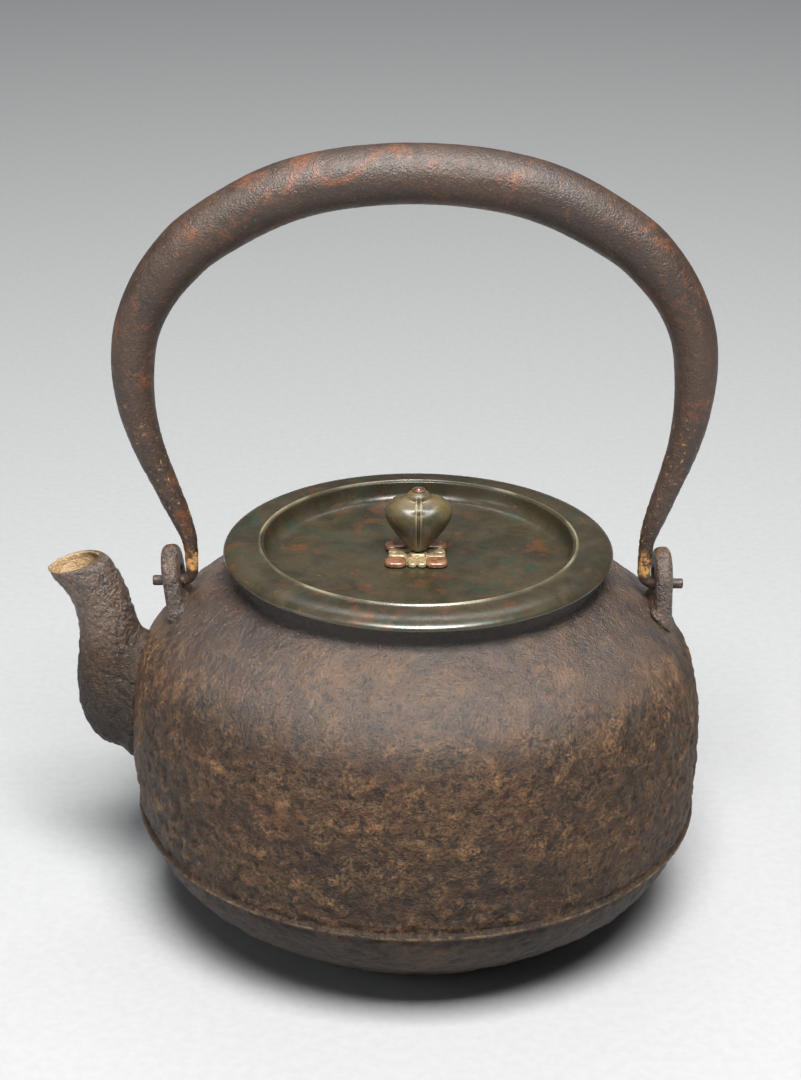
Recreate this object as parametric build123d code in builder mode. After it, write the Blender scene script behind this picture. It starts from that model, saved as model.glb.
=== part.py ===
from build123d import *

import os
from math import cos, radians, sin

# Cast iron water kettle with a hollow swinging handle and a drop-in bronze lid.
# Millimetres. The origin is the centre of the flat base, +Z is up and the spout points to -X.

# Kettle body: (radius, height) points up the outside, from the edge of the base to the root of the neck.
BODY_OUTLINE = [
    (48.0, 0.0), (57.0, 5.0), (65.4, 11.2), (73.3, 18.0), (78.3, 25.2), (81.6, 36.0), (82.5, 51.0),
    (81.5, 69.0), (78.6, 80.2), (74.0, 87.2), (66.0, 94.8), (59.0, 99.6), (52.0, 104.0),
]
BODY_WALL = 3.0
BASE_THICKNESS = 3.6
INSIDE_BASE_RADIUS = 46.0
NECK_RADIUS = 50.8
NECK_ROOT_RISE = 1.2
MOUTH_RADIUS = 47.2
MOUTH_ROOT_RISE = 1.6
RIM_HEIGHT = 109.0
RIM_ROUND = 0.8
SEAM_RADIUS = 80.6
SEAM_HEIGHT = 33.3
SEAM_BEAD = 0.9

# Spout: x, z, tilt from upright towards the tip, half depth in the plane of the handle, half width
# across it, then the same two sizes of the channel.
SPOUT_STATIONS = [
    (-72.5, 59.2, 65.0, 18.8, 13.4, 9.0, 8.0),
    (-80.7, 62.8, 51.0, 17.2, 13.2, 9.0, 8.0),
    (-85.9, 68.2, 36.8, 14.8, 12.4, 8.8, 7.8),
    (-87.7, 76.3, 14.5, 11.0, 10.2, 7.4, 6.8),
    (-88.7, 86.1, 13.9, 8.8, 8.6, 6.1, 5.9),
    (-90.3, 94.1, 15.8, 8.3, 8.1, 5.9, 5.7),
    (-93.5, 100.8, 19.0, 8.5, 8.0, 6.3, 5.9),
    (-97.5, 105.3, 13.0, 7.8, 7.5, 6.5, 6.2),
]

# Ears: upright lugs with a round eye, one each side, for the ends of the handle.
EAR_CENTRE_X = 69.2
EAR_THICKNESS = 5.0
EAR_TOP = 110.3
EAR_HALF_WIDTH = 8.4
EAR_FOOT_HALF_WIDTH = 9.8
EAR_FOOT_HEIGHT = 84.0
EAR_EDGE_ROUND = 1.9
EAR_LEANS = {"spout_ear": 7.0, "rear_ear": -1.0}
EYE_RADIUS = 3.4
EYE_HEIGHT = 101.0

# Handle: x, z and radius along one half, from the crown down to the start of the hook.
PIVOT_HEIGHT = 99.65
BAIL_STATIONS = [
    (0.0, 217.1, 8.1), (21.0, 215.4, 8.1), (38.5, 210.4, 8.1), (56.0, 200.5, 7.8), (64.0, 193.3, 7.5),
    (70.6, 184.5, 6.9), (75.2, 174.0, 6.35), (76.7, 163.0, 5.95), (76.2, 151.5, 5.2), (73.9, 140.5, 4.4),
    (70.3, 130.0, 3.7), (66.7, 120.0, 3.15), (64.3, 112.0, 2.25), (64.0, 102.85, 1.85),
]
BAIL_LEAN = -1.5
BAIL_LEAN_FROM = 112.0
BAIL_LEAN_FULL = 155.0
BAIL_WALL = 1.8
BAIL_HOLLOW_FROM = 135.0
STUB_RADIUS = 1.55
STUB_END_X = 75.3
STUB_CHAMFER = 0.4

# Lid: the brim lies on the rim, the pan drops into the mouth and its wall keeps the lid central.
# The lip and brim outlines are (radius, height) points from the pan's wall outwards.
LID_RADIUS = 54.9
LIP_OUTLINE = [(43.5, 112.7), (43.85, 113.05), (44.15, 112.7), (44.45, 113.3), (44.75, 113.3), (45.1, 112.9)]
BRIM_EDGE_ROUND = 2.1
BRIM_OUTLINE = [(45.1, 112.9), (50.0, 112.85), (53.3, 112.3), (LID_RADIUS, RIM_HEIGHT + BRIM_EDGE_ROUND)]
PLATE_TOP = 107.2
PLATE_THICKNESS = 2.3
PAN_RADIUS = 43.5
PAN_CORNER_ROUND = 2.6
SKIRT_RADIUS = 46.4
SKIRT_THICKNESS = 2.2
SKIRT_TAPER = 0.6
SKIRT_FOOT = 102.8

# Knob, its seat and the pin that holds them on the lid.
PIN_RADIUS = 0.9
PIN_RUNNING_GAP = 0.08
PIN_FIXED_GAP = 0.05
PIN_HEAD_RADIUS = 1.2
PIN_HEAD_FOOT = 127.5
PIN_HEAD_SHOULDER = (0.94, 128.1)
PIN_TOP = 128.4
LEG_SPAN = 10.0
LEG_WIDTH = 1.5
LEG_THICKNESS = 0.8
WASHER_RADIUS = 3.6
WASHER_THICKNESS = 0.6
SEAT_RADIUS = 7.2
SEAT_THICKNESS = 0.9
SEAT_BOSS_RADIUS = 2.6
SEAT_TOP = 109.4
LOBE_OFFSET = 8.2
LOBE_RADIUS = 3.1
LOBE_HEIGHT = 2.0
LOBE_ROUND = 0.7
RAY_OFFSET = 5.0
RAY_LENGTH = 5.6
RAY_WIDTH = 5.8
RAY_HEIGHT = 1.7
RAY_NOTCH = 0.8
KNOB_OUTLINE = [
    (1.9, 109.6), (3.4, 111.2), (6.5, 115.0), (8.8, 118.8), (9.4, 121.2), (8.9, 122.9), (7.7, 124.0),
    (6.2, 124.5), (4.9, 124.9), (4.0, 125.6), (3.0, 126.7), (1.9, 127.4),
]
KNOB_WALL = 1.2
KNOB_BORE_DEPTH = 3.2
FERRULE_RADIUS = 1.5
FERRULE_RING_RADIUS = 1.85
FERRULE_FOOT = 125.4
FERRULE_TOP = 128.0
FERRULE_EDGE_ROUND = 0.2
FERRULE_CUP_RADIUS = 1.35
CUP_FLOOR = 127.4


def inset(points, amount):
    """Points moved to the left of the way the outline runs, square to the line past each one."""
    moved = []
    for before, point, after in zip(points[:1] + points, points, points[1:] + points[-1:]):
        along = (Vector(*after) - Vector(*before)).normalized()
        moved.append(Vector(*point) + along.rotate(Axis.Z, 90) * amount)
    return moved


def tube(stations):
    """A round bar lofted through (origin, direction, half depth, half width) stations."""
    with BuildPart() as bar:
        for origin, along, half_depth, half_width in stations:
            with BuildSketch(Plane(origin=origin, x_dir=(0, 1, 0), z_dir=along)):
                if half_depth == half_width:
                    Circle(half_depth)
                else:
                    Ellipse(half_width, half_depth)
        loft()
    return bar.part


def body_outside():
    """The kettle body as if it were solid, used to trim what stands on it."""
    with BuildPart() as filled:
        with BuildSketch(Plane.XZ):
            with BuildLine():
                Line((0, 0), BODY_OUTLINE[0])
                Spline(*BODY_OUTLINE)
                Polyline(BODY_OUTLINE[-1], (0, BODY_OUTLINE[-1][1]), (0, 0))
            make_face()
        revolve(axis=Axis.Z)
    return filled.part


def seam_ring():
    """The bead that the two halves of the mould left round the body."""
    with BuildPart() as ring:
        with BuildSketch(Plane.XZ):
            with Locations((SEAM_RADIUS, SEAM_HEIGHT)):
                Circle(SEAM_BEAD)
        revolve(axis=Axis.Z)
    return ring.part


def spout_channel():
    """The water's way from inside the body to the spout's mouth, as a solid."""
    stations = []
    for x, z, tilt, _, _, half_depth, half_width in SPOUT_STATIONS:
        along = (-sin(radians(tilt)), 0, cos(radians(tilt)))
        stations.append(((x, 0, z), along, half_depth, half_width))
    return tube(stations)


def ear(side, lean):
    """A lug with rounded edges on one shoulder; side is +1 or -1 and lean tips it outwards."""
    upward = Vector(side * sin(radians(lean)), 0, cos(radians(lean)))
    outward = Vector(upward.Z, 0, -upward.X)
    height = EAR_TOP - EYE_HEIGHT
    face = Plane(origin=(side * EAR_CENTRE_X, 0, EYE_HEIGHT), x_dir=(0, 1, 0), z_dir=outward)
    arch_height = height - EAR_HALF_WIDTH
    foot = EAR_FOOT_HEIGHT - EYE_HEIGHT
    with BuildPart() as lug:
        with BuildSketch(face):
            with BuildLine():
                Polyline((-EAR_HALF_WIDTH, arch_height), (-EAR_FOOT_HALF_WIDTH, foot),
                         (EAR_FOOT_HALF_WIDTH, foot), (EAR_HALF_WIDTH, arch_height))
                ThreePointArc((-EAR_HALF_WIDTH, arch_height), (0, height), (EAR_HALF_WIDTH, arch_height))
            make_face()
        extrude(amount=EAR_THICKNESS / 2, both=True)
        fillet(lug.faces().filter_by(Plane(origin=(0, 0, 0), z_dir=outward)).edges(), EAR_EDGE_ROUND)
        with Locations((side * EAR_CENTRE_X, 0, EYE_HEIGHT)):
            Cylinder(EYE_RADIUS, 4 * EAR_THICKNESS, rotation=(0, 90, 0), mode=Mode.SUBTRACT)
        add(body_outside(), mode=Mode.SUBTRACT)
    return lug.part


def bail_point(side, x, z):
    """A point of the handle's centre line, with the whole arch leaning slightly to the spout side."""
    share = (z - BAIL_LEAN_FROM) / (BAIL_LEAN_FULL - BAIL_LEAN_FROM)
    return Vector(side * x + BAIL_LEAN * min(1.0, max(0.0, share)), 0, z)


def bail_stations():
    """(point, direction, radius) from the spout side's hook over the crown to the other hook."""
    row = [(-1, *station) for station in reversed(BAIL_STATIONS[1:])]
    row += [(1, *station) for station in BAIL_STATIONS]
    points = [bail_point(side, x, z) for side, x, z, _ in row]
    ways = [after - before for before, after in zip(points[:-2], points[2:])]
    ways = [Vector(0, 0, 1), *ways, Vector(0, 0, -1)]
    return [(point, way, radius) for point, way, (_, _, _, radius) in zip(points, ways, row)]


def hook(side):
    """The bar turns outwards below the leg and ends in a thin stub that goes through the eye."""
    top = bail_point(side, BAIL_STATIONS[-1][0], BAIL_STATIONS[-1][1])
    bend = top.Z - PIVOT_HEIGHT
    with BuildPart() as bar:
        with BuildLine() as path:
            RadiusArc(top, (top.X + side * bend, 0, PIVOT_HEIGHT), -side * bend)
        with BuildSketch(Plane(origin=top, x_dir=(0, 1, 0), z_dir=(0, 0, -1))):
            Circle(BAIL_STATIONS[-1][2])
        with BuildSketch(Plane(origin=path.line @ 1, x_dir=(0, 1, 0), z_dir=(side, 0, 0))):
            Circle(STUB_RADIUS)
        sweep(path=path.line, multisection=True)
        with BuildSketch(Plane(origin=path.line @ 1, x_dir=(0, 1, 0), z_dir=(side, 0, 0))):
            Circle(STUB_RADIUS)
        extrude(amount=STUB_END_X - abs((path.line @ 1).X))
        chamfer(bar.edges().group_by(Axis.X)[-1 if side > 0 else 0], STUB_CHAMFER)
    return bar.part


def export(piece, name):
    piece.part.label = name
    export_step(piece.part, f"parts/{name}.step")


os.makedirs("parts", exist_ok=True)

# Kettle body: an even shell with a short neck, a round mouth and a cast seam below the belly.
inner_outline = inset(BODY_OUTLINE, BODY_WALL)
with BuildPart() as kettle_body:
    with BuildSketch(Plane.XZ):
        with BuildLine():
            Line((0, 0), BODY_OUTLINE[0])
            Spline(*BODY_OUTLINE)
            Polyline(BODY_OUTLINE[-1], (NECK_RADIUS, BODY_OUTLINE[-1][1] + NECK_ROOT_RISE),
                     (NECK_RADIUS, RIM_HEIGHT), (MOUTH_RADIUS, RIM_HEIGHT),
                     (MOUTH_RADIUS, inner_outline[-1].Y + MOUTH_ROOT_RISE), inner_outline[-1])
            Spline(*inner_outline[:0:-1])
            Polyline(inner_outline[1], (INSIDE_BASE_RADIUS, BASE_THICKNESS), (0, BASE_THICKNESS), (0, 0))
        make_face()
    revolve(axis=Axis.Z)
    fillet(kettle_body.edges().group_by(Axis.Z)[-1], RIM_ROUND)
    add(seam_ring())
    add(spout_channel(), mode=Mode.SUBTRACT)
export(kettle_body, "kettle_body")

# Spout: a bulging root that narrows into an upright neck with a flared, slanted mouth.
with BuildPart() as spout:
    outer = []
    for x, z, tilt, half_depth, half_width, _, _ in SPOUT_STATIONS:
        outer.append(((x, 0, z), (-sin(radians(tilt)), 0, cos(radians(tilt))), half_depth, half_width))
    add(tube(outer))
    add(body_outside(), mode=Mode.SUBTRACT)
    add(seam_ring(), mode=Mode.SUBTRACT)
    add(spout_channel(), mode=Mode.SUBTRACT)
export(spout, "spout")

# Ears: one lug on each shoulder.
for name, side in (("spout_ear", -1), ("rear_ear", 1)):
    with BuildPart() as lug:
        add(ear(side, EAR_LEANS[name]))
    export(lug, name)

# Bail: the forged handle, hollow above the thin legs, hooked through both eyes.
with BuildPart() as bail:
    outer = bail_stations()
    inner = [(point, way, radius - BAIL_WALL) for point, way, radius in outer if point.Z >= BAIL_HOLLOW_FROM]
    add(tube([(point, way, radius, radius) for point, way, radius in outer]))
    add(tube([(point, way, radius, radius) for point, way, radius in inner]), mode=Mode.SUBTRACT)
    add(hook(-1))
    add(hook(1))
export(bail, "bail")

# Lid: a turned casting with a raised double lip round the sunken plate.
with BuildPart() as lid:
    pin_hole = PIN_RADIUS + PIN_FIXED_GAP
    corner = PAN_RADIUS - PAN_CORNER_ROUND
    corner_depth = PAN_CORNER_ROUND * (1 - cos(radians(45)))
    edge = LID_RADIUS - BRIM_EDGE_ROUND
    edge_depth = BRIM_EDGE_ROUND * (1 - cos(radians(45)))
    plate_foot = PLATE_TOP - PLATE_THICKNESS
    skirt_inside = SKIRT_RADIUS - SKIRT_THICKNESS
    with BuildSketch(Plane.XZ):
        with BuildLine():
            Line((pin_hole, PLATE_TOP), (corner, PLATE_TOP))
            ThreePointArc((corner, PLATE_TOP), (PAN_RADIUS - corner_depth, PLATE_TOP + corner_depth),
                          (PAN_RADIUS, PLATE_TOP + PAN_CORNER_ROUND))
            Polyline((PAN_RADIUS, PLATE_TOP + PAN_CORNER_ROUND), *LIP_OUTLINE)
            Spline(*BRIM_OUTLINE)
            ThreePointArc(BRIM_OUTLINE[-1], (LID_RADIUS - edge_depth, RIM_HEIGHT + edge_depth),
                          (edge, RIM_HEIGHT))
            Polyline((edge, RIM_HEIGHT), (SKIRT_RADIUS, RIM_HEIGHT), (SKIRT_RADIUS, SKIRT_FOOT),
                     (skirt_inside, SKIRT_FOOT), (skirt_inside - SKIRT_TAPER, plate_foot),
                     (pin_hole, plate_foot), (pin_hole, PLATE_TOP))
        make_face()
    revolve(axis=Axis.Z)
export(lid, "lid")

# Knob seat: a small washer with four round lobes and a notched ray between each two.
with BuildPart() as knob_seat:
    with BuildSketch(Plane.XY.offset(PLATE_TOP)):
        with PolarLocations(LOBE_OFFSET, 4, start_angle=45):
            Circle(LOBE_RADIUS)
    extrude(amount=LOBE_HEIGHT)
    fillet(knob_seat.edges().group_by(Axis.Z)[-1], LOBE_ROUND)
    with BuildSketch(Plane.XY.offset(PLATE_TOP)):
        Circle(SEAT_RADIUS)
    extrude(amount=SEAT_THICKNESS)
    with BuildSketch(Plane.XY.offset(PLATE_TOP)):
        with PolarLocations(RAY_OFFSET, 4):
            Rectangle(RAY_LENGTH, RAY_WIDTH)
        with PolarLocations(RAY_OFFSET + RAY_LENGTH / 2, 4):
            Circle(RAY_NOTCH, mode=Mode.SUBTRACT)
    extrude(amount=RAY_HEIGHT)
    with BuildSketch(Plane.XY.offset(PLATE_TOP)):
        Circle(SEAT_BOSS_RADIUS)
    extrude(amount=SEAT_TOP - PLATE_TOP)
    with BuildSketch(Plane.XY.offset(PLATE_TOP)):
        Circle(PIN_RADIUS + PIN_FIXED_GAP)
    extrude(amount=SEAT_TOP - PLATE_TOP, mode=Mode.SUBTRACT)
export(knob_seat, "knob_seat")

# Knob: a hollow fruit shape that turns on the pin.
knob_inner = inset(KNOB_OUTLINE, KNOB_WALL)
with BuildPart() as knob:
    with BuildSketch(Plane.XZ):
        with BuildLine():
            Polyline((0, KNOB_OUTLINE[0][1]), KNOB_OUTLINE[0])
            Spline(*KNOB_OUTLINE)
            Polyline(KNOB_OUTLINE[-1], (0, KNOB_OUTLINE[-1][1]), (0, KNOB_OUTLINE[0][1]))
        make_face()
    revolve(axis=Axis.Z)
    with BuildSketch(Plane.XZ):
        with BuildLine():
            Polyline((0, knob_inner[1].Y), knob_inner[1])
            Spline(*knob_inner[1:-1])
            Polyline(knob_inner[-2], (0, knob_inner[-2].Y), (0, knob_inner[1].Y))
        make_face()
    revolve(axis=Axis.Z, mode=Mode.SUBTRACT)
    with Locations((0, 0, FERRULE_FOOT)):
        Cylinder(FERRULE_RADIUS, PIN_TOP - FERRULE_FOOT, align=(Align.CENTER, Align.CENTER, Align.MIN),
                 mode=Mode.SUBTRACT)
    with Locations((0, 0, KNOB_OUTLINE[0][1])):
        Cylinder(PIN_RADIUS + PIN_RUNNING_GAP, 2 * KNOB_BORE_DEPTH, mode=Mode.SUBTRACT)
export(knob, "knob")

# Ferrule: a copper eyelet in the top of the knob, with a ring round the pin's head.
with BuildPart() as knob_ferrule:
    with BuildSketch(Plane.XZ):
        with BuildLine():
            bore = PIN_RADIUS + PIN_RUNNING_GAP
            Polyline((bore, FERRULE_FOOT), (FERRULE_RADIUS, FERRULE_FOOT), (FERRULE_RADIUS, CUP_FLOOR),
                     (FERRULE_RING_RADIUS, CUP_FLOOR), (FERRULE_RING_RADIUS, FERRULE_TOP),
                     (FERRULE_CUP_RADIUS, FERRULE_TOP), (FERRULE_CUP_RADIUS, CUP_FLOOR),
                     (bore, CUP_FLOOR), (bore, FERRULE_FOOT))
        make_face()
    revolve(axis=Axis.Z)
    fillet(knob_ferrule.edges().group_by(Axis.Z)[-1], FERRULE_EDGE_ROUND)
export(knob_ferrule, "knob_ferrule")

# Washer under the lid, where the pin's split ends are bent over.
washer_top = PLATE_TOP - PLATE_THICKNESS
washer_foot = washer_top - WASHER_THICKNESS
with BuildPart() as pin_washer:
    with BuildSketch(Plane.XY.offset(washer_foot)):
        Circle(WASHER_RADIUS)
        Circle(PIN_RADIUS + PIN_FIXED_GAP, mode=Mode.SUBTRACT)
    extrude(amount=WASHER_THICKNESS)
export(pin_washer, "pin_washer")

# Pin: a domed head, a shank down through knob, seat, lid and washer, and two ends bent outwards.
with BuildPart() as knob_pin:
    with BuildSketch(Plane.XZ):
        with BuildLine():
            shank_foot = washer_foot - LEG_THICKNESS
            ThreePointArc((0, PIN_TOP), PIN_HEAD_SHOULDER, (PIN_HEAD_RADIUS, PIN_HEAD_FOOT))
            Polyline((PIN_HEAD_RADIUS, PIN_HEAD_FOOT), (PIN_RADIUS, PIN_HEAD_FOOT), (PIN_RADIUS, shank_foot),
                     (0, shank_foot), (0, PIN_TOP))
        make_face()
    revolve(axis=Axis.Z)
    with Locations((0, 0, washer_foot)):
        Box(LEG_SPAN, LEG_WIDTH, LEG_THICKNESS, align=(Align.CENTER, Align.CENTER, Align.MAX))
export(knob_pin, "knob_pin")
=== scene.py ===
# Cast iron kettle with a swinging handle and a bronze lid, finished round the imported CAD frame.
# Sizes are in millimetres and MM turns them into Blender's metres. The spout points to -X.
import math

import bmesh
import bpy
import numpy as np
from mathutils import Matrix, Vector, noise
from mathutils.bvhtree import BVHTree


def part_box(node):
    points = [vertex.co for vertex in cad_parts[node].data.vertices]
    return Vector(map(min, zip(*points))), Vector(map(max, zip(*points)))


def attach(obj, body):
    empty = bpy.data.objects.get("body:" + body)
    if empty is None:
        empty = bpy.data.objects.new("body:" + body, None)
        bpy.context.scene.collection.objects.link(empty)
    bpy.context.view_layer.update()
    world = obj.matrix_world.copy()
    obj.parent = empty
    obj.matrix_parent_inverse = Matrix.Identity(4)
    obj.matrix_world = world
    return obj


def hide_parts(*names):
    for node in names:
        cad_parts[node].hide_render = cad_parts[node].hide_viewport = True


MM = 0.001
WELD = 1e-6

SEAM_HEIGHT = 33.3

CAMERA_PLACE = (-5.0, -551.8, 348.2)
CAMERA_PITCH = 23.13
CAMERA_ROLL = 0.37
CAMERA_LENS = 71.0

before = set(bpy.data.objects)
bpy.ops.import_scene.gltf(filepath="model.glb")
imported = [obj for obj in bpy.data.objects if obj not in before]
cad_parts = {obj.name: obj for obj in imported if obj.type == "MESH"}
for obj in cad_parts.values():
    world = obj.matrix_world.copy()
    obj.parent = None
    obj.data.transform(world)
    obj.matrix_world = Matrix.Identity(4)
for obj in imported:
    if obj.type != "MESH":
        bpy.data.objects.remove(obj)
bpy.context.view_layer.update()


# ---------------------------------------------------------------- shapes


def smoothstep(low, high, value):
    """0 below low, 1 above high and an even S between; low may be the larger."""
    share = min(1.0, max(0.0, (value - low) / (high - low)))
    return share * share * (3 - 2 * share)


def new_piece(name, vertices, faces, body):
    """A smooth-shaded mesh piece from points in mm that rides on a CAD body."""
    mesh = bpy.data.meshes.new(name)
    mesh.from_pydata([tuple(c * MM for c in point) for point in vertices], [], faces)
    mesh.validate()
    piece = bpy.data.objects.new(name, mesh)
    bpy.context.scene.collection.objects.link(piece)
    mesh.shade_smooth()
    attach(piece, body)
    return piece


def apply_modifier(piece, kind, **settings):
    """Adds a modifier, bakes its result into the mesh and takes it off again."""
    modifier = piece.modifiers.new(kind, kind)
    for name, value in settings.items():
        setattr(modifier, name, value)
    bpy.context.view_layer.update()
    made = bpy.data.meshes.new_from_object(piece.evaluated_get(bpy.context.evaluated_depsgraph_get()))
    piece.modifiers.clear()
    piece.data = made
    made.shade_smooth()


def half_section(node):
    """A turned CAD node's outline: (radius, height) points in mm along its cut at +X, in order."""
    cut = bmesh.new()
    cut.from_mesh(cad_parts[node].data)
    bmesh.ops.remove_doubles(cut, verts=cut.verts, dist=WELD)
    parts = bmesh.ops.bisect_plane(cut, geom=[*cut.verts, *cut.edges, *cut.faces], dist=WELD,
                                   plane_co=(0, 0, 0), plane_no=(0, 1, 0))["geom_cut"]
    joined = {}
    for edge in parts:
        if isinstance(edge, bmesh.types.BMEdge) and min(v.co.x for v in edge.verts) > -WELD:
            first, second = [(round(v.co.x / MM, 4), round(v.co.z / MM, 4)) for v in edge.verts]
            joined.setdefault(first, set()).add(second)
            joined.setdefault(second, set()).add(first)
    cut.free()
    ends = [point for point in joined if len(joined[point]) == 1]
    path = [min(ends or joined, key=lambda point: point[1])]
    while True:
        onward = sorted(joined[path[-1]] - set(path[-2:]), reverse=True)
        if not onward or onward[0] == path[0]:
            return path
        path.append(onward[0])


def divided(points, step_at):
    """The same line with points put in so that no run is longer than step_at(point)."""
    line = [points[0]]
    for start, end in zip(points, points[1:]):
        length = math.dist(start, end)
        parts = max(1, math.ceil(length / step_at(start)))
        line += [tuple(s + (e - s) * i / parts for s, e in zip(start, end)) for i in range(1, parts + 1)]
    return line


def rounded(points, times):
    """Cuts every corner of a closed line a quarter of the way along its runs, a few times over."""
    for _ in range(times):
        runs = zip(points, points[1:] + points[:1])
        points = [tuple(a + (b - a) * share for a, b in zip(*run))
                  for run in runs for share in (0.25, 0.75)]
    return points


def turned(name, outline, steps, body):
    """Turns (radius, height) points round Z; a line that starts and ends on the axis is closed there."""
    closed = outline[0][0] > WELD
    vertices = []
    rings = []
    for radius, height in outline:
        if radius < 1e-3:
            rings.append([len(vertices)] * steps)
            vertices.append((0.0, 0.0, height))
            continue
        rings.append(list(range(len(vertices), len(vertices) + steps)))
        for step in range(steps):
            angle = 2 * math.pi * step / steps
            vertices.append((radius * math.cos(angle), radius * math.sin(angle), height))
    faces = []
    for lower, upper in zip(rings, rings[1:] + rings[:1] if closed else rings[1:]):
        for step in range(steps):
            onward = (step + 1) % steps
            face = [lower[step], lower[onward], upper[onward], upper[step]]
            face = [corner for i, corner in enumerate(face) if corner not in face[:i]]
            if len(face) > 2:
                faces.append(face)
    return new_piece(name, vertices, faces, body)


def relax(piece, times):
    """Evens out a mesh without shrinking it: each pull inwards is followed by a push back out."""
    places, _ = points_of(piece)
    pairs = np.empty(len(piece.data.edges) * 2, np.int32)
    piece.data.edges.foreach_get("vertices", pairs)
    first, second = np.concatenate([pairs.reshape(-1, 2), pairs.reshape(-1, 2)[:, ::-1]]).T
    links = np.bincount(first, minlength=len(places))[:, None]
    for factor in (0.5, -0.53) * times:
        around = np.stack([np.bincount(first, places[second, axis], len(places))
                           for axis in range(3)], 1)
        places = places + factor * (around / links - places)
    set_points(piece, places)


def outer_copy(node, name, voxel, body, soften=8):
    """The outer skin of a CAD node as an even mesh of its own."""
    piece = bpy.data.objects.new(name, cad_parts[node].data.copy())
    piece.data.materials.clear()
    bpy.context.scene.collection.objects.link(piece)
    apply_modifier(piece, "REMESH", mode="VOXEL", voxel_size=voxel * MM)
    keep_largest(piece)
    relax(piece, soften)
    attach(piece, body)
    return piece


def keep_largest(piece):
    """Drops every loose part but the widest, such as the wall of a sealed hollow."""
    work = bmesh.new()
    work.from_mesh(piece.data)
    left = set(work.verts)
    shells = []
    while left:
        shell = {left.pop()}
        edge_of_search = list(shell)
        while edge_of_search:
            for edge in edge_of_search.pop().link_edges:
                for vertex in edge.verts:
                    if vertex in left:
                        left.discard(vertex)
                        shell.add(vertex)
                        edge_of_search.append(vertex)
        shells.append(shell)
    shells.sort(key=len)
    bmesh.ops.delete(work, geom=[v for shell in shells[:-1] for v in shell], context="VERTS")
    work.to_mesh(piece.data)
    work.free()


def points_of(piece):
    """The piece's vertices and their normals in mm, as two arrays."""
    count = len(piece.data.vertices)
    places = np.empty(count * 3)
    normals = np.empty(count * 3)
    piece.data.vertices.foreach_get("co", places)
    piece.data.vertex_normals.foreach_get("vector", normals)
    return places.reshape(-1, 3) / MM, normals.reshape(-1, 3)


def set_points(piece, places):
    """Moves the piece's vertices to an array of places in mm."""
    piece.data.vertices.foreach_set("co", (places * MM).ravel())
    piece.data.update()


def keep_value(piece, name, values):
    """Stores one number per vertex for the materials to read."""
    layer = piece.data.attributes.new(name, "FLOAT", "POINT")
    layer.data.foreach_set("value", np.asarray(values, np.float32))


def sink(piece, depth_at):
    """Presses each point inwards by depth_at(place, normal) mm and keeps how deep, for the colours."""
    places, normals = points_of(piece)
    depths = np.array([depth_at(Vector(p), Vector(n)) for p, n in zip(places, normals)])
    set_points(piece, places - normals * depths[:, None])
    keep_value(piece, "hollow", depths)


def crust(place, size, seed):
    """Rounded lumps with creases between them, from 0 in a crease to about 1 on a lump."""
    lumps = noise.turbulence(place / size + Vector((seed, 0, 0)), 2, True, amplitude_scale=0.5,
                             frequency_scale=2.1)
    return min(1.0, 1.5 * lumps)


def grit(place, size, seed):
    """Uneven lumps without creases, from about 0 to 1."""
    return 0.5 + 0.5 * noise.fractal(place / size + Vector((0, 0, seed)), 0.7, 2.1, 3)


def swell(place, size, seed):
    """Slow unevenness from 0 to 1."""
    return 0.5 + 0.5 * noise.noise(place / size + Vector((0, seed, 0)))


# ---------------------------------------------------------------- materials


def tint(red, green, blue):
    """An 8-bit colour as the linear values that shaders work in."""
    return (*[(c / 255 / 12.92 if c < 11 else ((c / 255 + 0.055) / 1.055) ** 2.4)
              for c in (red, green, blue)], 1.0)


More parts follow.
